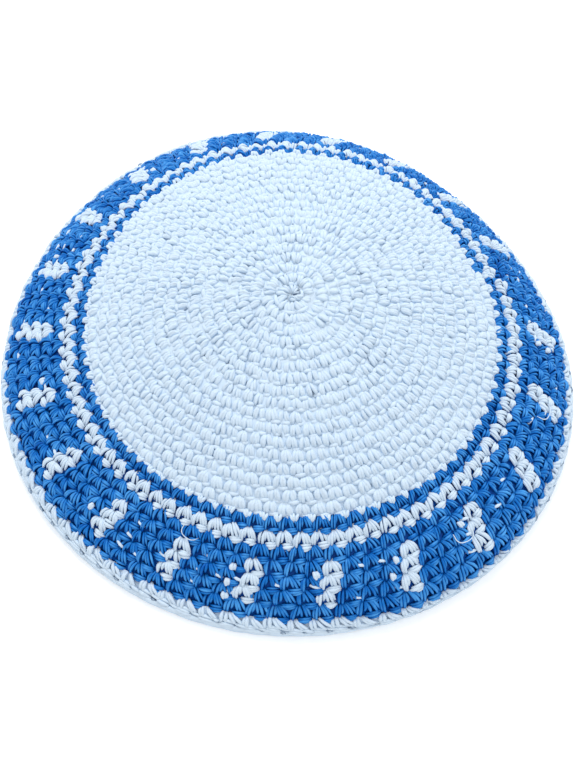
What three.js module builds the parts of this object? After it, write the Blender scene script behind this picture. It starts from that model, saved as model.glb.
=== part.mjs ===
import * as THREE from "three";

// A crocheted skullcap, lying on its rim. Millimetres, +Z up. The origin is on
// the surface that the cap rests on, under the middle of its outline.
// A place on the cap is given by its arc, measured along the fabric from the
// crown's centre, its heading, in degrees round from +X, and its depth below
// the outer skin.

// Rounds of crochet, from the centre out
const crownRounds = 17;
const blueRounds = 1;
const whiteRounds = 1;
const roundsBeforeBars = 1;
const barRounds = 3;
const roundsAfterBars = 1;
const crownRoundHeight = 3.66;
const roundHeight = 4.07;
const edgeHeight = 4.8;

// The fabric and its rim
const wall = 2.8;
const ribDepth = 0.5;
const lipHeight = 2.2;
const lipOverhang = 0.5;
const footWidth = 2.2;
const pieceGap = 0.3;

// The white bars of the border, in stitches
const barCount = 21;
const barSpacing = 4;
const barWidth = 1;
const seamStitches = 2;
const firstBarHeading = 27.4;
const leanPerRound = 0.22;

// How the cap lies: its crown sits a little off the rim's middle
const crownShift = new THREE.Vector2(1.5, 1.4);

// The fabric's slope, in degrees, at shares of the way out to the rim
const profile = [
  { share: 0, slope: 0 },
  { share: 0.22, slope: 12.5 },
  { share: 0.44, slope: 19.9 },
  { share: 0.67, slope: 30.5 },
  { share: 0.83, slope: 36.7 },
  { share: 0.93, slope: 50.5 },
  { share: 1, slope: 58 },
];

// Unevenness comes in waves round the cap, each given by how many there are, by
// its size and by the heading of a peak. The border and the edge stand steeper
// on some sides, in degrees
const borderSlope = [
  { waves: 1, size: 6.6, heading: 74.4 },
  { waves: 2, size: 4.7, heading: 83.3 },
  { waves: 3, size: 2.9, heading: 31.3 },
];
const edgeSlope = [
  { waves: 1, size: 3.5, heading: 49.7 },
  { waves: 2, size: 9, heading: 156.4 },
  { waves: 3, size: 7.7, heading: 60.2 },
];

// Where these slopes come in, as shares of the way out to the rim
const borderFrom = 0.6;
const borderFully = 0.74;
const edgeFrom = 0.9;
const edgeFully = 0.98;

// The outline's unevenness, as shares of its radius at the rim
const outline = [
  { waves: 2, size: 0.0347, heading: 116.4 },
  { waves: 3, size: 0.0066, heading: 82.6 },
  { waves: 4, size: 0.0046, heading: 9.7 },
];

// How far the stitches lie ahead of an even spacing, in degrees
const stretch = [
  { waves: 1, size: 1.69, heading: 16 },
  { waves: 2, size: 0.65, heading: 72.1 },
];

// How finely the faceted solids follow the fabric
const crownColumns = 43;
const roundsPerInnerStep = 2;
const walkSteps = 48;
const headingsAveraged = 36;
const bluePerColumn = 1.7;

// Where each piece starts, as an arc from the centre
const blueStart = crownRounds * crownRoundHeight;
const whiteStart = blueStart + blueRounds * roundHeight;
const bandStart = whiteStart + whiteRounds * roundHeight;
const barStart = bandStart + roundsBeforeBars * roundHeight;
const barEnd = barStart + barRounds * roundHeight;
const edgeStart = barEnd + roundsAfterBars * roundHeight;
const reach = edgeStart + edgeHeight;
const stitchAngle = 360 / (barCount * barSpacing + seamStitches);

const { degToRad, smoothstep } = THREE.MathUtils;

function wavesAt(table, heading) {
  let sum = 0;
  for (const wave of table) {
    sum += wave.size * Math.cos(degToRad(wave.waves * (heading - wave.heading)));
  }
  return sum;
}

function slopeFromProfile(share) {
  const next = Math.max(1, profile.findIndex((row) => row.share >= share));
  const [from, to] = [profile[next - 1], profile[next]];
  const along = (share - from.share) / (to.share - from.share);
  return from.slope + (to.slope - from.slope) * along;
}

function slopeAt(arc, heading) {
  const share = Math.min(1, arc / reach);
  const onEdge = smoothstep(share, edgeFrom, edgeFully);
  const onBorder = smoothstep(share, borderFrom, borderFully) * (1 - onEdge);
  const uneven = onBorder * wavesAt(borderSlope, heading) + onEdge * wavesAt(edgeSlope, heading);
  return degToRad(slopeFromProfile(share) + uneven);
}

// Walks down the fabric from the centre along one heading
function walk(arc, heading) {
  const step = arc / walkSteps;
  let radius = 0;
  let drop = 0;
  for (let i = 0; i < walkSteps; i++) {
    const slope = slopeAt((i + 0.5) * step, heading);
    radius += Math.cos(slope) * step;
    drop += Math.sin(slope) * step;
  }
  return { radius, drop };
}

function averageDrop() {
  let sum = 0;
  for (let i = 0; i < headingsAveraged; i++) {
    sum += walk(reach, (i * 360) / headingsAveraged).drop;
  }
  return sum / headingsAveraged;
}

const crownDrop = averageDrop();

function fabricPoint(arc, heading, depth) {
  const share = arc / reach;
  const { radius, drop } = walk(arc, heading);
  const fullDrop = walk(reach, heading).drop;
  const slope = slopeAt(arc, heading);
  const swell = 1 + share * wavesAt(outline, heading);
  const out = radius * swell - depth * Math.sin(slope);
  const shifted = 1 - share ** 2;
  const evened = (crownDrop - fullDrop) * (1 - share) ** 2;
  return new THREE.Vector3(
    crownShift.x * shifted + out * Math.cos(degToRad(heading)),
    crownShift.y * shifted + out * Math.sin(degToRad(heading)),
    lipHeight + fullDrop - drop + evened - depth * Math.cos(slope),
  );
}

// The outer skin's lines over some rounds: a valley where two rounds meet and a
// crest along the middle of each
function ribLines(start, rounds, height) {
  const lines = [];
  for (let i = 0; i <= rounds; i++) {
    lines.push({ arc: start + i * height, depth: ribDepth });
    if (i < rounds) {
      lines.push({ arc: start + (i + 0.5) * height, depth: 0 });
    }
  }
  return lines;
}

// Draws the first and last line in by half a gap, to keep a piece clear of its
// neighbours
function drawnIn(lines) {
  const last = lines.length - 1;
  return lines.map((line, i) => {
    const move = i === 0 ? pieceGap / 2 : i === last ? -pieceGap / 2 : 0;
    return { arc: line.arc + move, depth: line.depth };
  });
}

function closedGeometry(points, faces) {
  const geometry = new THREE.BufferGeometry();
  const corners = points.flatMap((point) => point.toArray());
  geometry.setAttribute("position", new THREE.Float32BufferAttribute(corners, 3));
  geometry.setIndex(faces.flat());
  geometry.computeVertexNormals();
  return geometry;
}

// A ring of fabric: the loop of points that section gives is carried round all
// headings
function ringGeometry(headings, section) {
  const loops = headings.map(section);
  const size = loops[0].length;
  const faces = [];
  loops.forEach((loop, j) => {
    const next = (j + 1) % loops.length;
    loop.forEach((_, i) => {
      const k = (i + 1) % size;
      faces.push([j * size + i, j * size + k, next * size + k]);
      faces.push([j * size + i, next * size + k, next * size + i]);
    });
  });
  return closedGeometry(loops.flat(), faces);
}

// A dome of fabric: as a ring, but the section runs from the middle of the outer
// skin to the middle of the inner one
function domeGeometry(headings, top, section, bottom) {
  const rows = headings.map(section);
  const size = rows[0].length;
  const points = [...rows.flat(), top, bottom];
  const topIndex = points.length - 2;
  const bottomIndex = points.length - 1;
  const faces = [];
  rows.forEach((row, j) => {
    const next = (j + 1) % rows.length;
    faces.push([topIndex, j * size, next * size]);
    for (let i = 0; i < size - 1; i++) {
      faces.push([j * size + i, j * size + i + 1, next * size + i + 1]);
      faces.push([j * size + i, next * size + i + 1, next * size + i]);
    }
    faces.push([bottomIndex, next * size + size - 1, j * size + size - 1]);
  });
  return closedGeometry(points, faces);
}

// A sheet of fabric made of cells between lines and columns. headingOf places a
// column at an arc, and isFilled leaves cells out as windows. A sheet that goes
// all the way round has its last column beside its first.
function sheetGeometry(lines, columns, headingOf, isFilled, goesRound) {
  const rowCount = lines.length - 1;
  const columnCount = goesRound ? columns.length : columns.length - 1;
  const points = [];
  for (const line of lines) {
    for (const column of columns) {
      points.push(fabricPoint(line.arc, headingOf(column, line.arc), line.depth));
      points.push(fabricPoint(line.arc, headingOf(column, line.arc), wall));
    }
  }
  const outer = (i, j) => 2 * (i * columns.length + (j % columns.length));
  const inner = (i, j) => outer(i, j) + 1;
  const wrapped = (j) => (goesRound ? (j + columnCount) % columnCount : j);
  const filled = (i, j) => {
    const inside = i >= 0 && i < rowCount && wrapped(j) >= 0 && wrapped(j) < columnCount;
    return inside && isFilled(i, wrapped(j));
  };
  const faces = [];
  const quad = (a, b, c, d) => faces.push([a, b, c], [a, c, d]);
  for (let i = 0; i < rowCount; i++) {
    for (let j = 0; j < columnCount; j++) {
      if (!filled(i, j)) {
        continue;
      }
      quad(outer(i, j), outer(i + 1, j), outer(i + 1, j + 1), outer(i, j + 1));
      quad(inner(i, j), inner(i, j + 1), inner(i + 1, j + 1), inner(i + 1, j));
      if (!filled(i - 1, j)) {
        quad(outer(i, j), outer(i, j + 1), inner(i, j + 1), inner(i, j));
      }
      if (!filled(i + 1, j)) {
        quad(outer(i + 1, j + 1), outer(i + 1, j), inner(i + 1, j), inner(i + 1, j + 1));
      }
      if (!filled(i, j - 1)) {
        quad(outer(i + 1, j), outer(i, j), inner(i, j), inner(i + 1, j));
      }
      if (!filled(i, j + 1)) {
        quad(outer(i, j + 1), outer(i + 1, j + 1), inner(i + 1, j + 1), inner(i, j + 1));
      }
    }
  }
  return closedGeometry(points, faces);
}

// Columns are counted in stitches from the middle of the first bar. Each bar has
// one at either side, and the blue between two bars is divided into equal parts
// of about two stitches
function borderColumns() {
  const columns = [];
  for (let bar = 0; bar < barCount; bar++) {
    const isLast = bar === barCount - 1;
    const blue = barSpacing - barWidth + (isLast ? seamStitches : 0);
    const parts = Math.max(1, Math.round(blue / bluePerColumn));
    columns.push(bar * barSpacing - barWidth / 2);
    for (let part = 0; part < parts; part++) {
      columns.push(bar * barSpacing + barWidth / 2 + (blue * part) / parts);
    }
  }
  return columns;
}

function columnHeading(column) {
  const even = firstBarHeading + column * stitchAngle;
  return even + wavesAt(stretch, even);
}

// Each round of the band sits a little clockwise of the round inside it
function leaningHeading(column, arc) {
  const roundsOut = (arc - (barStart + barEnd) / 2) / roundHeight;
  return columnHeading(column - leanPerRound * roundsOut);
}

function crownGeometry() {
  const lines = drawnIn(ribLines(0, crownRounds, crownRoundHeight));
  const outerLines = lines.slice(1);
  const rim = outerLines[outerLines.length - 1].arc;
  const innerSteps = Math.ceil(crownRounds / roundsPerInnerStep);
  const headings = Array.from({ length: crownColumns }, (_, j) => (j * 360) / crownColumns);
  const section = (heading) => {
    const row = outerLines.map((line) => fabricPoint(line.arc, heading, line.depth));
    for (let i = innerSteps; i > 0; i--) {
      row.push(fabricPoint((rim * i) / innerSteps, heading, wall));
    }
    return row;
  };
  return domeGeometry(headings, fabricPoint(0, 0, 0), section, fabricPoint(0, 0, wall));
}

function roundGeometry(start, rounds) {
  const lines = drawnIn(ribLines(start, rounds, roundHeight));
  return sheetGeometry(lines, borderColumns(), columnHeading, () => true, true);
}

function bandGeometry() {
  const rounds = roundsBeforeBars + barRounds + roundsAfterBars;
  const lines = drawnIn(ribLines(bandStart, rounds, roundHeight));
  const columns = borderColumns();
  const isBar = (column) => Number.isInteger((column + barWidth / 2) / barSpacing);
  const isWindow = (i, j) => {
    const middle = (lines[i].arc + lines[i + 1].arc) / 2;
    return isBar(columns[j]) && middle > barStart && middle < barEnd;
  };
  return sheetGeometry(lines, columns, leaningHeading, (i, j) => !isWindow(i, j), true);
}

function barGeometry(bar) {
  const lines = ribLines(barStart, barRounds, roundHeight);
  lines[0].arc += pieceGap;
  lines[lines.length - 1].arc -= pieceGap;
  const middle = bar * barSpacing;
  const sideGap = (arc) => pieceGap / walk(arc, columnHeading(middle)).radius;
  const headingOf = (side, arc) => {
    const gap = THREE.MathUtils.radToDeg(sideGap(arc));
    return leaningHeading(middle + (side * barWidth) / 2, arc) - side * gap;
  };
  return sheetGeometry(lines, [-1, 1], headingOf, () => true, false);
}

// The edge round ends in a rounded lip with a flat foot under it
function edgeGeometry() {
  const start = edgeStart + pieceGap / 2;
  const section = (heading) => {
    const inward = new THREE.Vector3(-Math.cos(degToRad(heading)), -Math.sin(degToRad(heading)), 0);
    const lip = fabricPoint(reach, heading, 0);
    const foot = new THREE.Vector3(lip.x, lip.y, 0);
    return [
      fabricPoint(start, heading, ribDepth),
      fabricPoint(edgeStart + edgeHeight / 2, heading, 0),
      lip,
      foot.clone().addScaledVector(inward, lipOverhang),
      foot.clone().addScaledVector(inward, lipOverhang + footWidth),
      fabricPoint(start, heading, wall),
    ];
  };
  return ringGeometry(borderColumns().map(columnHeading), section);
}

const whiteCotton = new THREE.MeshStandardMaterial({ color: "#cfe2f3", roughness: 0.9, metalness: 0 });
const blueCotton = new THREE.MeshStandardMaterial({ color: "#3f7fc4", roughness: 0.9, metalness: 0 });

const cap = new THREE.Group();

function addPiece(name, geometry, material) {
  const piece = new THREE.Mesh(geometry, material);
  piece.name = name;
  cap.add(piece);
}

addPiece("crown", crownGeometry(), whiteCotton);
addPiece("blue_round", roundGeometry(blueStart, blueRounds), blueCotton);
addPiece("white_round", roundGeometry(whiteStart, whiteRounds), whiteCotton);
addPiece("border_band", bandGeometry(), blueCotton);
for (let bar = 0; bar < barCount; bar++) {
  addPiece(`motif_${String(bar + 1).padStart(2, "0")}`, barGeometry(bar), whiteCotton);
}
addPiece("edge_round", edgeGeometry(), whiteCotton);

const middle = new THREE.Box3().setFromObject(cap).getCenter(new THREE.Vector3());
cap.position.set(-middle.x, -middle.y, 0);

export default cap;
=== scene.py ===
import math
import bpy
import numpy as np
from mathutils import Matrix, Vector


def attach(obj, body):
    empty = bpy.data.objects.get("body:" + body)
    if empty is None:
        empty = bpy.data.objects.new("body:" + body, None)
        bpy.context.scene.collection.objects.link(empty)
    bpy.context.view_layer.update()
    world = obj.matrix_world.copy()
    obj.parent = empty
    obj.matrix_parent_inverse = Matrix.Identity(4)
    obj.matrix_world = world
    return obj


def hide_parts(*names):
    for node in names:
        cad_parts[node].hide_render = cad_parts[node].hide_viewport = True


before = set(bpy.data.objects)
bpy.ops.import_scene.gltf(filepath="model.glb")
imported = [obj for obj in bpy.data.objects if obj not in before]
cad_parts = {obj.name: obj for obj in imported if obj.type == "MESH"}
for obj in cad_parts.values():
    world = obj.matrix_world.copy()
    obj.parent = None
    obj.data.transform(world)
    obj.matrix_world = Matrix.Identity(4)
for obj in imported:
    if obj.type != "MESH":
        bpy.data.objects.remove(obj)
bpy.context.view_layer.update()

# A crocheted skullcap, worked stitch by stitch on the cap's own surface.
# A place on the cap is an arc, measured along the fabric from the crown's centre, a heading in
# degrees round from +X, and a lift off the outer skin. Lengths are in metres, apart from the
# stitch patterns and the lifts of the felted core, which are in millimetres.

mm = 0.001
random = np.random.default_rng(613)  # seeded, so that every run works the same cap

capShape = {
    "reach": 95.51 * mm,  # from the crown's centre to the rim, along the fabric
    "lipHeight": 2.2 * mm,
    "crownShift": (1.5 * mm, 1.4 * mm),
    # how steep the fabric is, in degrees, at shares of the reach
    "profileShares": [0, 0.22, 0.44, 0.67, 0.83, 0.93, 1],
    "profileSlopes": [0, 12.5, 19.9, 30.5, 36.7, 50.5, 58],
    # waves round the cap: how many, how large, and the heading of a peak. Those of the outline are
    # shares of the radius, and the rest are degrees
    "borderSlope": [(1, 6.6, 74.4), (2, 4.7, 83.3), (3, 2.9, 31.3)],
    "edgeSlope": [(1, 3.5, 49.7), (2, 9, 156.4), (3, 7.7, 60.2)],
    "borderFrom": (0.6, 0.74),
    "edgeFrom": (0.9, 0.98),
    "outline": [(2, 0.0347, 116.4), (3, 0.0066, 82.6), (4, 0.0046, 9.7)],
    "stretch": [(1, 1.69, 16), (2, 0.65, 72.1)],
    # how finely the skin is laid out, and the degrees between the rim's points that centre it
    "rows": 193,
    "headings": 180,
    "rimStep": 0.5,
}


def smoothStep(value, low, high):
    share = np.clip((value - low) / (high - low), 0, 1)
    return share * share * (3 - 2 * share)


def wavesAt(table, heading):
    return sum(size * np.cos(np.radians(waves * (heading - at))) for waves, size, at in table)


# The cap's outer skin, as tables over the arc and the heading
class Fabric:
    def __init__(self, shape):
        self.shape = shape
        shares = np.linspace(0, 1, shape["rows"])[:, None]
        headings = np.arange(shape["headings"])[None] * 360 / shape["headings"]
        self.step = shape["reach"] / (shape["rows"] - 1)
        onEdge = smoothStep(shares, *shape["edgeFrom"])
        onBorder = smoothStep(shares, *shape["borderFrom"]) * (1 - onEdge)
        slope = np.interp(shares, shape["profileShares"], shape["profileSlopes"])
        slope = slope + onBorder * wavesAt(shape["borderSlope"], headings)
        self.slope = np.radians(slope + onEdge * wavesAt(shape["edgeSlope"], headings))
        between = (self.slope[1:] + self.slope[:-1]) / 2
        centre = np.zeros((1, shape["headings"]))
        self.radius = np.vstack([centre, np.cumsum(np.cos(between) * self.step, axis=0)])
        self.drop = np.vstack([centre, np.cumsum(np.sin(between) * self.step, axis=0)])
        self.crownDrop = self.drop[-1].mean()
        self.middle = np.zeros(3)
        around = np.arange(0, 360, shape["rimStep"])
        rim = self.place(np.full_like(around, shape["reach"]), around, np.zeros_like(around))
        self.middle = (rim.min(axis=0) + rim.max(axis=0)) / 2 * (1, 1, 0)

    def read(self, table, arc, heading):
        row = arc / self.step
        column = (heading % 360) * self.shape["headings"] / 360
        i = np.clip(row.astype(int), 0, self.shape["rows"] - 2)
        j = column.astype(int) % self.shape["headings"]
        k = (j + 1) % self.shape["headings"]
        u, v = row - i, column % 1
        near = table[i, j] * (1 - v) + table[i, k] * v
        far = table[i + 1, j] * (1 - v) + table[i + 1, k] * v
        return near * (1 - u) + far * u

    def place(self, arc, heading, lift):
        shape = self.shape
        share = arc / shape["reach"]
        fullDrop = self.read(self.drop, np.full_like(arc, shape["reach"]), heading)
        slope = self.read(self.slope, arc, heading)
        swell = 1 + share * wavesAt(shape["outline"], heading)
        out = self.read(self.radius, arc, heading) * swell + lift * np.sin(slope)
        shifted = 1 - share ** 2  # the crown is off centre, and the rim isn't
        evened = (self.crownDrop - fullDrop) * (1 - share) ** 2  # every heading meets at one crown
        turn = np.radians(heading)
        down = self.read(self.drop, arc, heading)
        return np.stack([
            shape["crownShift"][0] * shifted + out * np.cos(turn),
            shape["crownShift"][1] * shifted + out * np.sin(turn),
            shape["lipHeight"] + fullDrop - down + evened + lift * np.cos(slope),
        ], axis=-1) - self.middle


fabric = Fabric(capShape)
print("fabric laid out")


# Camera

view = {
    "elevation": 60,
    "distance": 707 * mm,
    "target": (0.41 * mm, -5.71 * mm),
    "lens": 112.9,
    "sensor": 36,
    "clipStart": 10 * mm,
}


def addCamera():
    elevation = math.radians(view["elevation"])
    back = Vector((0, -math.cos(elevation), math.sin(elevation)))
    target = Vector((*view["target"], capShape["lipHeight"])) - Vector(fabric.middle)
    bpy.ops.object.camera_add(location=target + back * view["distance"])
    camera = bpy.context.object
    camera.name = "photo_camera"
    camera.rotation_euler = back.to_track_quat("Z", "Y").to_euler()
    camera.data.lens = view["lens"]
    camera.data.sensor_fit = "VERTICAL"
    camera.data.sensor_height = view["sensor"]
    camera.data.clip_start = view["clipStart"]
    bpy.context.scene.camera = camera


addCamera()
print("camera set")


# Materials

# A shader socket that takes part in ordinary arithmetic
class Sum:
    def __init__(self, shader, socket):
        self.shader = shader
        self.socket = socket

    def math(self, operation, first, second):
        node = self.shader.node("ShaderNodeMath", {"operation": operation}, {0: first, 1: second})
        return Sum(self.shader, node.outputs[0])

    def __add__(self, other):
        return self.math("ADD", self, other)

    def __radd__(self, other):
        return self.math("ADD", other, self)

    def __sub__(self, other):
        return self.math("SUBTRACT", self, other)

    def __rsub__(self, other):
        return self.math("SUBTRACT", other, self)

    def __mul__(self, other):
        return self.math("MULTIPLY", self, other)

    def __rmul__(self, other):
        return self.math("MULTIPLY", other, self)


# One material's node tree around its Principled shader
class Shader:
    def __init__(self, name):
        self.material = bpy.data.materials.new(name)
        self.material.use_nodes = True
        self.tree = self.material.node_tree
        self.surface = self.tree.nodes["Principled BSDF"]

    def node(self, kind, settings=None, values=None):
        made = self.tree.nodes.new(kind)
        for name, value in (settings or {}).items():
            setattr(made, name, value)
        for key, value in (values or {}).items():
            self.feed(made.inputs[key], value)
        return made

    def feed(self, socket, value):
        if isinstance(value, Sum):
            self.tree.links.new(value.socket, socket)
        elif isinstance(value, bpy.types.NodeSocket):
            self.tree.links.new(value, socket)
        else:
            socket.default_value = value

    def take(self, made, name=0):
        return Sum(self, made.outputs[name])


cotton = {
    # painted shade: each dye's four colours run from painted shade in a deep gap to a painted
    # highlight on a lit crest
    "tones": (0, 0.3, 0.55, 0.9),  # of each dye's four colours, from a deep gap to a crest
    "white": {
        "shadedColours": [
            (0.10, 0.16, 0.26, 1),
            (0.58, 0.705, 0.84, 1),
            (0.605, 0.73, 0.865, 1),
            (0.62, 0.75, 0.88, 1),
        ],
        "soft": 0.12,
        "roughness": 0.8,
        "gloss": 0.1,
    },
    "blue": {
        "shadedColours": [
            (0.0, 0.028, 0.20, 1),
            (0.0, 0.08, 0.39, 1),
            (0.006, 0.16, 0.54, 1),
            (0.08, 0.36, 0.80, 1),
        ],
        "soft": 0.0,
        "roughness": 0.5,
        "gloss": 0.12,
    },
    "softness": 0.5 * mm,  # how far light spreads in a soft dye
    "plies": 2,
    "twists": 1.6,  # along one strand
    "twistDepth": 0.10,
    # how much lighter the plies' raised twists are painted, as painted shade of their relief
    "plyShade": 0.1,
    "fuzzScale": 2600.0,
    "fuzzDetail": 2.0,
    "fuzzDepth": 0.05,
    "unevenScale": 300.0,
    "unevenDetail": 3.0,
    "unevenRoughness": 0.6,
    "unevenTone": 0.4,
    "unevenGloss": 0.2,  # how much the surface's roughness varies
    "bumpStrength": 0.6,
    "bumpDepth": 1 * mm,
}


def makeCotton(name, dye):
    shader = Shader(name)
    where = shader.node("ShaderNodeTexCoord")
    along = shader.node("ShaderNodeSeparateXYZ", None, {0: where.outputs["UV"]})
    shade = shader.node("ShaderNodeAttribute", {"attribute_name": "dyeToneAndPaintedShade"})
    uneven = shader.node("ShaderNodeTexNoise", None, {
        "Vector": where.outputs["Object"],
        "Scale": cotton["unevenScale"],
        "Detail": cotton["unevenDetail"],
        "Roughness": cotton["unevenRoughness"],
    })
    fuzz = shader.node("ShaderNodeTexNoise", None, {
        "Vector": where.outputs["Object"],
        "Scale": cotton["fuzzScale"],
        "Detail": cotton["fuzzDetail"],
    })
    turns = shader.take(along, "X") * (cotton["twists"] * 2 * math.pi)
    turns = turns + shader.take(along, "Y") * (cotton["plies"] * 2 * math.pi)
    ply = shader.node("ShaderNodeMath", {"operation": "SINE"}, {0: turns})
    plyHeight = shader.take(ply) * 0.5 + 0.5
    unevenTone = (shader.take(uneven) - 0.5) * cotton["unevenTone"]
    # the tone: the place's painted shade, the dye's random unevenness, and painted shade along the
    # plies
    tone = shader.take(shade, "Fac") + unevenTone + (plyHeight - 0.5) * cotton["plyShade"]
    # the ramp paints the shade and highlight carried by that tone onto the dye's colour
    ramp = shader.node("ShaderNodeValToRGB", None, {0: tone})
    ramp.color_ramp.elements.remove(ramp.color_ramp.elements[1])
    ramp.color_ramp.elements[0].color = dye["shadedColours"][0]
    for place, colour in zip(cotton["tones"][1:], dye["shadedColours"][1:]):
        ramp.color_ramp.elements.new(place).color = colour
    shader.feed(shader.surface.inputs["Base Color"], ramp.outputs[0])
    height = plyHeight * cotton["twistDepth"] + shader.take(fuzz) * cotton["fuzzDepth"]
    bump = shader.node("ShaderNodeBump", None, {
        "Strength": cotton["bumpStrength"],
        "Distance": cotton["bumpDepth"],
        "Height": height,
    })
    shader.feed(shader.surface.inputs["Normal"], bump.outputs[0])
    smoothest = dye["roughness"] - cotton["unevenGloss"] / 2
    roughness = shader.take(uneven) * cotton["unevenGloss"] + smoothest
    shader.feed(shader.surface.inputs["Roughness"], roughness)
    shader.surface.inputs["Specular IOR Level"].default_value = dye["gloss"]
    shader.surface.inputs["Subsurface Weight"].default_value = dye["soft"]
    shader.surface.inputs["Subsurface Radius"].default_value = (1, 1, 1)
    shader.surface.inputs["Subsurface Scale"].default_value = cotton["softness"]
    return shader.material


cottons = {
    "white_cotton": makeCotton("white_cotton", cotton["white"]),
    "blue_cotton": makeCotton("blue_cotton", cotton["blue"]),
}
print("cotton dyed")


# The patterns of the stitches. A strand is a few places: across the stitch in stitch widths,
# outward in round heights, and up off the skin. A cell is the width and height that the strands
# are drawn at. The legs start in the round inside this one.

borderCell = (5.3, 4.1)
edgeCell = (6.1, 5.2)

borderStitch = {
    "cell": borderCell,
    "thickness": 0.38,
    "bends": 3,
    "strands": [
        ((-0.20, 0.02, -1.00), (-0.30, 0.44, 0.05), (-0.28, 0.92, -0.80)),
        ((-0.06, -0.02, -0.85), (-0.16, 0.46, 0.30), (-0.16, 0.98, -0.60)),
        ((0.02, 0.02, -0.90), (0.02, 0.34, 0.05), (-0.02, 0.70, -0.90)),
        ((0.06, -0.02, -0.90), (0.19, 0.34, 0.20), (0.30, 0.76, -0.60)),
        ((0.14, -0.08, -0.80), (0.33, 0.30, 0.38), (0.49, 0.78, -0.40)),
        ((0.22, -0.10, -0.95), (0.45, 0.22, 0.15), (0.64, 0.70, -0.60)),
        ((0.06, 0.90, -0.80), (0.34, 0.84, 0.05), (0.66, 0.80, -0.70)),
        ((0.02, 1.05, -0.80), (0.34, 0.98, 0.25), (0.70, 0.92, -0.70)),
        ((0.10, 1.20, -0.95), (0.38, 1.13, 0.00), (0.68, 1.05, -0.90)),
    ],
}

# a white stitch of the border is pulled tighter than the blue ones beside it
tightness = 0.94
tightStitch = {
    **borderStitch,
    "thickness": 0.45,
    "strands": [
        [(across * tightness, outward, up) for across, outward, up in strand]
        for strand in borderStitch["strands"]
    ],
}

crownStitch = {
    "cell": (4.1, 3.6),
    "thickness": 0.73,
    "bends": 2,
    "strands": [
        ((-0.14, 0.06, -0.85), (-0.25, 0.46, -0.16), (-0.22, 0.90, -0.85)),
        ((-0.03, 0.04, -0.80), (-0.11, 0.48, -0.10), (-0.09, 0.93, -0.80)),
        ((0.09, 0.04, -0.80), (0.19, 0.45, -0.10), (0.30, 0.90, -0.75)),
        ((0.20, 0.04, -0.85), (0.34, 0.40, -0.14), (0.47, 0.83, -0.75)),
        ((0.04, 1.00, -0.90), (0.38, 0.96, -0.52), (0.74, 0.90, -0.90)),
    ],
}

# the tip of a crown stitch, seen between the legs of the first blue round
crownTip = {
    "cell": borderCell,
    "thickness": 0.56,
    "bends": 3,
    "strands": [
        ((0.32, -0.12, -0.60), (0.42, 0.12, 0.10), (0.53, 0.36, -0.50)),
        ((0.54, -0.14, -0.50), (0.54, 0.08, 0.18), (0.56, 0.34, -0.40)),
        ((0.78, -0.12, -0.60), (0.68, 0.10, 0.10), (0.58, 0.36, -0.50)),
    ],
}

edgeStitch = {
    "cell": edgeCell,
    "thickness": 0.56,
    "bends": 3,
    "strands": [
        ((-0.16, -0.02, -0.95), (-0.18, 0.24, 0.05), (-0.14, 0.60, -0.30)),
        ((-0.04, -0.04, -0.85), (-0.03, 0.24, 0.20), (0.02, 0.62, -0.20)),
        ((0.10, -0.04, -0.90), (0.26, 0.22, 0.15), (0.52, 0.56, -0.20)),
        ((0.18, -0.06, -0.85), (0.42, 0.18, 0.25), (0.74, 0.52, -0.15)),
        ((-0.16, 0.52, -0.30), (0.14, 0.52, -0.05), (0.50, 0.58, -0.25)),
        ((-0.16, 0.64, -0.30), (0.14, 0.66, 0.00), (0.44, 0.70, -0.25)),
        ((-0.20, 0.78, -0.30), (0.16, 0.77, -0.05), (0.54, 0.80, -0.30)),
        ((0.40, 0.52, -0.30), (0.64, 0.58, 0.00), (0.94, 0.66, -0.30)),
    ],
}

edgeChain = {
    "cell": edgeCell,
    "thickness": 0.78,
    "bends": 3,
    "strands": [
        ((-0.20, 0.84, -0.62), (0.40, 0.86, -0.50), (1.10, 0.84, -0.62)),
        ((-0.30, 0.95, -1.25), (0.30, 0.96, -1.15), (1.00, 0.95, -1.25)),
        ((-0.20, 1.07, -1.95), (0.40, 1.08, -1.95), (1.10, 1.07, -1.95)),
    ],
}

# a dark strand, painted as the shadow of the deep gap above the chain of each edge stitch
edgeGapShadow = {
    "cell": edgeCell,
    "thickness": 0.42,
    "bends": 2,
    "strands": [
        ((0.56, 0.71, -0.30), (0.68, 0.72, 0.05), (0.82, 0.75, -0.30)),
    ],
}

# the other colour, where it shows through: a knot beside a bar and a fleck between blue stitches
carriedKnot = {
    "cell": borderCell,
    "thickness": 0.62,
    "bends": 3,
    "strands": [
        ((-0.05, 0.62, -0.40), (-0.02, 0.84, 0.25), (0.02, 1.08, -0.30)),
        ((0.05, 0.66, -0.40), (0.08, 0.86, 0.18), (0.12, 1.02, -0.35)),
    ],
}

carriedFleck = {
    "cell": borderCell,
    "thickness": 0.42,
    "bends": 2,
    "strands": [
        ((0.26, 0.46, -0.55), (0.51, 0.57, 0.08), (0.78, 0.68, -0.45)),
    ],
}

looseLoop = {
    "cell": borderCell,
    "thickness": 0.15,
    "bends": 4,
    "strands": [
        (
            (-0.30, 0.02, 0.00),
            (-0.28, 0.60, 0.85),
            (0.07, 0.86, 1.00),
            (0.48, 0.85, 0.85),
            (0.72, 0.60, 0.00),
        ),
    ],
}

backStitch = {
    "cell": (4.6, 3.7),
    "thickness": 0.62,
    "bends": 2,
    "strands": [
        ((-0.12, 0.62, -2.10), (0.36, 0.40, -2.75), (0.90, 0.70, -2.10)),
    ],
}


yarn = {
    # how thick a strand is at its places and at its second one, as shares of its thickness
    "radius": 0.85,
    "swollenRadius": 1.1,
    "roundness": 1,
    "mergeWithin": 0.001,
}


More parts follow.
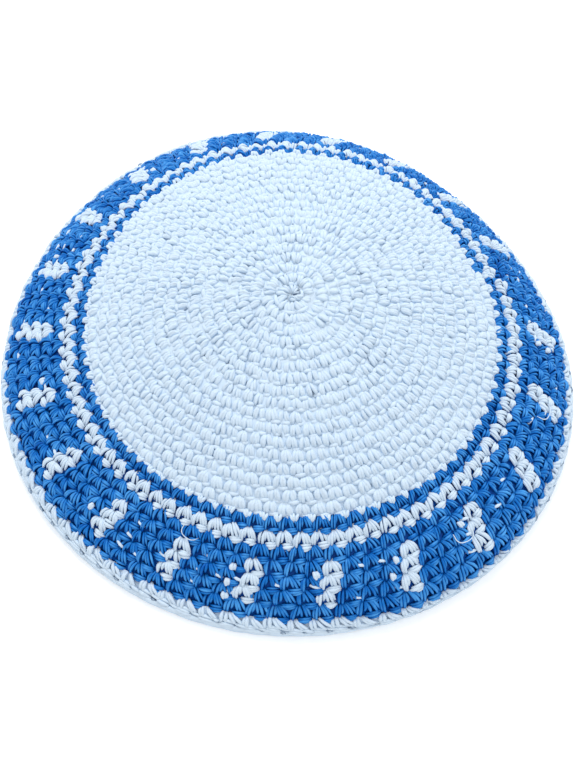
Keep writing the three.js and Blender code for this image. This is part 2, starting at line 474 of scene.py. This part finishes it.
# A short length of yarn, as a closed tube
def drawStrand(places, cell, thickness, bends):
    bpy.ops.object.select_all(action="DESELECT")
    bpy.ops.curve.primitive_bezier_curve_add()
    strand = bpy.context.object
    curve = strand.data
    spline = curve.splines[0]
    spline.bezier_points.add(len(places) - 2)
    for point, (across, outward, up) in zip(spline.bezier_points, places):
        point.co = (across * cell[0], outward * cell[1], up)
        point.handle_left_type = point.handle_right_type = "AUTO"
        point.radius = yarn["radius"]
    spline.bezier_points[1].radius = yarn["swollenRadius"]
    curve.resolution_u = bends
    curve.bevel_depth = thickness
    curve.bevel_resolution = yarn["roundness"]
    curve.use_fill_caps = True
    bpy.ops.object.convert(target="MESH")
    return bpy.context.object


# The strands of one stitch, joined, as arrays of places, faces, UVs, strand numbers and how far
# each place faces up, which sets how much painted highlight it gets
def modelStitch(spec):
    places, faces, uvs, strandNumbers, crests = [], [], [], [], []
    for number, strandPlaces in enumerate(spec["strands"]):
        strand = drawStrand(strandPlaces, spec["cell"], spec["thickness"], spec["bends"])
        bpy.ops.object.mode_set(mode="EDIT")
        bpy.ops.mesh.select_all(action="SELECT")
        bpy.ops.mesh.remove_doubles(threshold=yarn["mergeWithin"])
        bpy.ops.mesh.quads_convert_to_tris()
        bpy.ops.mesh.normals_make_consistent(inside=False)
        bpy.ops.object.mode_set(mode="OBJECT")
        mesh = strand.data
        corners = np.zeros(len(mesh.vertices) * 3)
        mesh.vertices.foreach_get("co", corners)
        triangles = np.zeros(len(mesh.loops), int)
        mesh.loops.foreach_get("vertex_index", triangles)
        uv = np.zeros(len(mesh.loops) * 2)
        mesh.uv_layers[0].data.foreach_get("uv", uv)
        faces.append(triangles.reshape(-1, 3) + sum(len(p) for p in places))
        places.append(corners.reshape(-1, 3) / (*spec["cell"], 1))
        uvs.append(uv.reshape(-1, 2))
        strandNumbers.append(np.full(len(mesh.vertices), number))
        crests.append([max(0, vertex.normal.z) for vertex in mesh.vertices])
        bpy.data.objects.remove(strand)
        bpy.data.meshes.remove(mesh)
    return {
        "places": np.concatenate(places),
        "faces": np.concatenate(faces),
        "uvs": np.concatenate(uvs),
        "strandNumbers": np.concatenate(strandNumbers),
        "crests": np.concatenate(crests),
        "strandCount": len(spec["strands"]),
    }


stitches = {
    "crown": modelStitch(crownStitch),
    "border": modelStitch(borderStitch),
    "tight": modelStitch(tightStitch),
    "crownTip": modelStitch(crownTip),
    "edge": modelStitch(edgeStitch),
    "edgeChain": modelStitch(edgeChain),
    "edgeGapShadow": modelStitch(edgeGapShadow),
    "carriedKnot": modelStitch(carriedKnot),
    "carriedFleck": modelStitch(carriedFleck),
    "looseLoop": modelStitch(looseLoop),
    "back": modelStitch(backStitch),
}
print("stitches modelled:", {name: len(stitch["faces"]) for name, stitch in stitches.items()})


# The rounds, worked in one spiral. Round 0 is the innermost

rounds = {
    # the first round of each part, and where the edge ends
    "blue": 17,
    "white": 18,
    "border": 19,
    "edge": 24,
    "end": 25,
    "bars": (20, 21, 22),
    "barCount": 21,
    "crownGain": 6.6,  # stitches gained by each round of the crown
    "crownMost": 85,
    "centreStitches": 5,  # in round -1, which fills the middle of the spiral
    "borderStitches": 86,
    "seamHeading": 12.75,
    "seamRound": 21,
    "leanPerRound": 0.22,
    "firstBar": 3,  # the first bar's stitch after the seam
    "barSpacing": 4,
    "apex": 0.35,  # where a stitch's legs start, across its place in the round
    # where a round starts, and how far out it has moved after its one turn
    "startArcs": ([0, 17, 24, 25], [0, 60.43 * mm, 89.83 * mm, capShape["reach"]]),
    "jogs": ([0, 17, 24, 25], [3.55 * mm, 3.5 * mm, 1.8 * mm, 0]),
    # how far the blue wanders outward at the edge, over the share of a turn from the seam
    "edgeWander": (
        [0, 0.44, 0.49, 0.53, 0.75, 0.79, 0.86, 0.90, 0.96, 1],
        [0, 0, 1.1 * mm, 0, 0, 1.7 * mm, 1.6 * mm, -0.6 * mm, -0.8 * mm, 0],
    ),
    "wanders": ([22, 24, 25], [0, 1, 0]),  # how much of that each round takes
}


def stitchCount(number):
    if number >= rounds["blue"]:
        return rounds["borderStitches"]
    grown = round(rounds["crownGain"] * (number + 1))
    return min(rounds["crownMost"], max(rounds["centreStitches"], grown))


def seamHeading(number):
    heading = rounds["seamHeading"]
    step = 1 if number > rounds["seamRound"] else -1
    for between in range(rounds["seamRound"], number, step):
        inner = between if step > 0 else between - 1
        heading -= step * rounds["leanPerRound"] * 360 / stitchCount(inner)
    return heading


def isBar(number, index):
    since = index - rounds["firstBar"]
    return number in rounds["bars"] and since >= 0 and since % rounds["barSpacing"] == 0


def barIndex(bar):
    return rounds["firstBar"] + bar * rounds["barSpacing"]


def roundStart(number, share):
    if number < 0:
        return share * 0
    start = np.interp(number, *rounds["startArcs"])
    wander = np.interp(share, *rounds["edgeWander"]) * np.interp(number, *rounds["wanders"])
    return start + np.interp(number, *rounds["jogs"]) * share + wander


work = {
    # how uneven the stitches and their strands are, in shares of a stitch or in metres
    "shiftAlong": 0.04,
    "shiftOut": 0.04,
    "shiftUp": 0.12 * mm,
    "swell": 0.06,
    "lean": 0.06,
    "strandShift": 0.025,
    "strandUp": 0.09 * mm,
    "mostSpread": 2,  # how many times that a whole stitch may stray. A strand has no such limit
    "followSpiral": 0.9,  # how much of its reach across a stitch climbs with the spiral
    "nearestCentre": 0.3 * mm,
    "floor": 0.05 * mm,
    # painted shade: a strand's tone at its shaded sides, and the painted highlight added on its crest
    # where it faces up
    "side": 0.38,  # how light a strand is at its side, and more at its crest
    "crest": 0.36,
    "dyeStitch": 0.05,
    "dyeStrand": 0.06,
}


# Places one round's stitches on the cap, each a little different from the next
# tone darkens a whole pattern, as for a painted gap shadow
def layStitches(stitch, number, indices, looseness=1, tone=1):
    indices = np.asarray(indices, float)[:, None]
    total = len(indices)
    count = stitchCount(number)
    places = stitch["places"]
    strands = stitch["strandNumbers"]

    def uneven(size):
        most = work["mostSpread"] * size
        return random.normal(0, size, (total, 1)).clip(-most, most) * looseness

    def unevenStrands(size):
        return random.normal(0, size, (total, stitch["strandCount"]))[:, strands] * looseness

    grow = 1 + uneven(work["swell"])
    across = places[:, 0] * grow + uneven(work["shiftAlong"]) + unevenStrands(work["strandShift"])
    across = across + uneven(work["lean"]) * (places[:, 1] - 0.5)
    outward = places[:, 1] + uneven(work["shiftOut"]) + unevenStrands(work["strandShift"])
    lift = places[:, 2] * mm + uneven(work["shiftUp"]) + unevenStrands(work["strandUp"])
    turn = indices + rounds["apex"] + across
    share = (indices + rounds["apex"] + across * work["followSpiral"]) / count
    inner = roundStart(number, share)
    outer = roundStart(number + 1, share)
    arc = np.maximum(work["nearestCentre"], inner + (outer - inner) * outward)
    heading = seamHeading(number) + turn * 360 / count
    placed = fabric.place(arc, heading + wavesAt(capShape["stretch"], heading), lift)
    placed[..., 2] = np.maximum(placed[..., 2], work["floor"])
    # painted shade and highlight: darker at a strand's sides, lighter on its upward-facing crest
    shade = work["side"] + work["crest"] * stitch["crests"]
    shade = shade + uneven(work["dyeStitch"]) + unevenStrands(work["dyeStrand"])
    faces = stitch["faces"][None] + (np.arange(total) * len(places))[:, None, None]
    return {
        "places": placed.reshape(-1, 3),
        "faces": faces.reshape(-1, 3),
        "uvs": np.tile(stitch["uvs"], (total, 1)),
        "shades": shade.reshape(-1) * tone,
    }


# Joins laid stitches into one piece that rides on the cap
def makePiece(name, parts, slot, nodes=()):
    offset = 0
    faces = []
    for part in parts:
        faces.append(part["faces"] + offset)
        offset += len(part["places"])
    mesh = bpy.data.meshes.new(name)
    mesh.from_pydata(np.concatenate([part["places"] for part in parts]), [], np.concatenate(faces))
    mesh.polygons.foreach_set("use_smooth", np.ones(len(mesh.polygons), bool))
    layer = mesh.uv_layers.new(name="UVMap")
    layer.data.foreach_set("uv", np.concatenate([part["uvs"] for part in parts]).ravel())
    # each place's tone: painted shade and highlight, with the dye's random unevenness
    shade = mesh.attributes.new("dyeToneAndPaintedShade", "FLOAT", "POINT")
    shade.data.foreach_set("value", np.concatenate([part["shades"] for part in parts]))
    mesh.materials.append(cottons[slot])
    mesh.update()
    piece = bpy.data.objects.new(name, mesh)
    bpy.context.collection.objects.link(piece)
    if nodes:
        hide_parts(*nodes)
    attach(piece, "root")
    print(name, len(mesh.polygons), "triangles")


# The felted middle of the fabric, which closes the holes between the strands. Its tone is darker than
# the strands', as painted shade in those holes

core = {
    "columns": 173,
    "turns": 1.004,  # a little over its own start, so that no slit is left at the seam
    "rowsPerRound": 2,
    "bottom": -1.95,
    "wave": 0.12,  # the most that it zigzags, unevenly, as its columns are half a stitch apart
    "centreHole": 0.2 * mm,
    "rimInset": 0.6 * mm,
}


# A closed strip through the middle of the wall, from one round's start to another's end
def layCore(first, last, top, shade, shadowSpots=0):
    rowCount = (last - first) * core["rowsPerRound"] + 1
    turn = np.linspace(0, core["turns"], core["columns"])
    numbers = np.linspace(first, last, rowCount)
    start = np.array([roundStart(number, turn) for number in numbers])
    if first == 0:
        start[0] = core["centreHole"]
    start = np.minimum(start, capShape["reach"] - core["rimInset"])
    seam = np.array([seamHeading(round(number)) for number in numbers])
    heading = seam[:, None] + turn[None] * 360
    wave = core["wave"] * np.sin(turn * 2 * math.pi * rounds["borderStitches"])[None]
    heading = heading + wavesAt(capShape["stretch"], heading)
    level = np.zeros_like(start)
    topSkin = fabric.place(start, heading, (top + wave + level) * mm)
    bottomSkin = fabric.place(start, heading, (core["bottom"] + wave + level) * mm)
    places = np.concatenate([topSkin.reshape(-1, 3), bottomSkin.reshape(-1, 3)])
    places[:, 2] = np.maximum(places[:, 2], work["floor"])
    columns = core["columns"]
    under = rowCount * columns
    faces = []

    def closeSide(a, b):
        faces.extend([(a, b, under + b), (a, under + b, under + a)])

    for i in range(rowCount - 1):
        for j in range(columns - 1):
            a, b = i * columns + j, i * columns + j + 1
            c, d = a + columns, b + columns
            faces += [(a, c, d), (a, d, b)]
            faces += [(under + a, under + d, under + c), (under + a, under + b, under + d)]
    for j in range(columns - 1):
        closeSide(j, j + 1)
        closeSide(j + 1 + under - columns, j + under - columns)
    for i in range(rowCount - 1):
        closeSide((i + 1) * columns, i * columns)
        closeSide((i + 1) * columns - 1, (i + 2) * columns - 1)
    faces = np.array(faces)
    return {
        "places": places,
        "faces": faces,
        "uvs": np.zeros((len(faces) * 3, 2)),
        # painted shade: the strip's darker tone, with some places painted darkest as shadow in open
        # holes
        "shades": np.where(random.random(len(places)) < shadowSpots, 0, shade),
    }


def wholeRounds(kind, first, last, looseness=1):
    parts = []
    for number in range(first, last):
        everyStitch = range(stitchCount(number))
        parts.append(layStitches(stitches[kind], number, everyStitch, looseness))
        parts.append(layStitches(stitches["back"], number, everyStitch))
    return parts


def blueRounds(first, last):
    parts = []
    for number in range(first, last):
        everyStitch = range(stitchCount(number))
        blue = [index for index in everyStitch if not isBar(number, index)]
        parts.append(layStitches(stitches["border"], number, blue))
        parts.append(layStitches(stitches["back"], number, everyStitch))
    return parts


# The crown, in three pieces from its centre out

crown = {
    "middleFrom": 9,
    "outerFrom": 13,
    "centreIndices": [2, 3, 4],  # the stitches of round -1 that are worked
    # the stitches are loosest in the middle of the cap
    "filledLooseness": 3,
    "centreLooseness": 1.6,
    "middleLooseness": 1.2,
    # the felt's shade is painted a little darker than the strands, as shade in the holes
    "felt": {"top": -0.4, "shade": 0.5, "shadowSpots": 0.05},  # the last: the share of it painted darkest, as shadow in open holes
}


def makeCrown():
    middle, outer, end = crown["middleFrom"], crown["outerFrom"], rounds["blue"]
    felt = layCore(0, end, **crown["felt"])
    filled = layStitches(stitches["crown"], -1, crown["centreIndices"], crown["filledLooseness"])
    centre = [filled, *wholeRounds("crown", 0, middle, crown["centreLooseness"]), felt]
    makePiece("crown_centre", centre, "white_cotton", ["crown"])
    middleParts = wholeRounds("crown", middle, outer, crown["middleLooseness"])
    makePiece("crown_middle", middleParts, "white_cotton")
    tips = layStitches(stitches["crownTip"], end, range(rounds["borderStitches"]))
    makePiece("crown_outer", [*wholeRounds("crown", outer, end), tips], "white_cotton")


makeCrown()


# The blue round and the white round outside the crown, and the border with its windows for bars

border = {
    "outerFrom": 22,
    # the felt is painted dark navy, as shade in the holes between the blue stitches
    "felt": {"top": -0.95, "shade": 0.22},
}


def makeBorder():
    blue, white, inner = rounds["blue"], rounds["white"], rounds["border"]
    outer, end = border["outerFrom"], rounds["edge"]
    blueParts = [*wholeRounds("border", blue, white), layCore(blue, inner, **border["felt"])]
    makePiece("blue_stitches", blueParts, "blue_cotton", ["blue_round"])
    makePiece("white_stitches", wholeRounds("tight", white, inner), "white_cotton", ["white_round"])
    innerParts = [*blueRounds(inner, outer), layCore(inner, end, **border["felt"])]
    makePiece("border_inner", innerParts, "blue_cotton", ["border_band"])
    makePiece("border_outer", blueRounds(outer, end), "blue_cotton")


makeBorder()


# The white edge, with the chain that ends it and, above that chain, dark strands painted as the
# shadow of deep gaps

edge = {
    # how dark the gap strands are painted, as a share of the usual tone
    "gapShadowTone": 0.2,
    "chainLooseness": 0.3,
    "felt": {"top": -0.45, "shade": 0.5},
}


def makeEdge():
    first, end = rounds["edge"], rounds["end"]
    everyStitch = range(stitchCount(first))
    gapShadows = layStitches(stitches["edgeGapShadow"], first, everyStitch, tone=edge["gapShadowTone"])
    chain = layStitches(stitches["edgeChain"], first, everyStitch, edge["chainLooseness"])
    parts = [*wholeRounds("edge", first, end), chain, gapShadows, layCore(first, end, **edge["felt"])]
    makePiece("edge_stitches", parts, "white_cotton", ["edge_round"])


makeEdge()


# The white bars, each in its window between the blue stitches
def makeBars():
    for bar in range(rounds["barCount"]):
        parts = [layStitches(stitches["tight"], number, [barIndex(bar)]) for number in rounds["bars"]]
        makePiece(f"bar_{bar + 1:02d}", parts, "white_cotton", [f"motif_{bar + 1:02d}"])


makeBars()


# The white yarn carried behind the blue

carried = {
    # the bar counted from 0, the round, and how far from the bar, in stitches, for each knot
    "knots": [
        (14, 20, -1.0),
        (14, 21, -0.9),
        (14, 22, -0.75),
        (15, 20, -0.8),
        (16, 20, -0.65),
        (16, 21, -0.75),
        (17, 20, -0.8),
        (12, 21, -0.9),
        (10, 20, -0.8),
        (8, 21, -0.8),
        (6, 20, -0.8),
        (20, 20, -0.8),
        (20, 21, -0.8),
    ],
    "fleckShare": 0.32,  # of the blue stitches in the bars' rounds
    "loops": [(19, 54.9), (21, 70.1), (21, 78.4)],  # the round and the stitch
    "loopLooseness": 0.2,
}


def makeCarriedYarn():
    parts = []
    for bar, number, aside in carried["knots"]:
        parts.append(layStitches(stitches["carriedKnot"], number, [barIndex(bar) + aside]))
    for number in rounds["bars"]:
        everyStitch = range(stitchCount(number))
        chosen = [index for index in everyStitch if random.random() < carried["fleckShare"]]
        between = [index for index in chosen if not isBar(number, index)]
        parts.append(layStitches(stitches["carriedFleck"], number, between))
    for number, index in carried["loops"]:
        parts.append(layStitches(stitches["looseLoop"], number, [index], carried["loopLooseness"]))
    makePiece("carried_yarn", parts, "white_cotton")


makeCarriedYarn()
print("cap worked")


# Floor and light

studio = {
    "floorSize": 6,
    "floorColour": (0.95, 0.95, 0.95, 1),
    "floorRoughness": 0.9,
    "floorGlow": 0.2,
    "world": 0.82,
    "lamps": [
        {"name": "key", "at": (-0.15, 0.8, 1.2), "size": 0.7, "power": 11},
        {"name": "fill", "at": (0.8, -0.2, 1.2), "size": 1.0, "power": 2},
    ],
}


def addStudio():
    bpy.ops.mesh.primitive_plane_add(size=studio["floorSize"], location=(0, 0, 0))
    floor = bpy.context.object
    floor.name = "floor"
    shader = Shader("pale_floor")
    shader.surface.inputs["Base Color"].default_value = studio["floorColour"]
    shader.surface.inputs["Roughness"].default_value = studio["floorRoughness"]
    shader.surface.inputs["Emission Color"].default_value = (1, 1, 1, 1)
    shader.surface.inputs["Emission Strength"].default_value = studio["floorGlow"]
    floor.data.materials.append(shader.material)
    world = bpy.data.worlds.new("studio")
    bpy.context.scene.world = world
    world.use_nodes = True
    background = world.node_tree.nodes["Background"]
    background.inputs["Color"].default_value = (1, 1, 1, 1)
    background.inputs["Strength"].default_value = studio["world"]
    for lamp in studio["lamps"]:
        bpy.ops.object.light_add(type="AREA", location=lamp["at"])
        light = bpy.context.object
        light.name = lamp["name"]
        light.data.size = lamp["size"]
        light.data.energy = lamp["power"]
        light.rotation_euler = Vector(lamp["at"]).to_track_quat("Z", "Y").to_euler()


addStudio()
bpy.context.scene.view_settings.view_transform = "Standard"
print("studio lit")
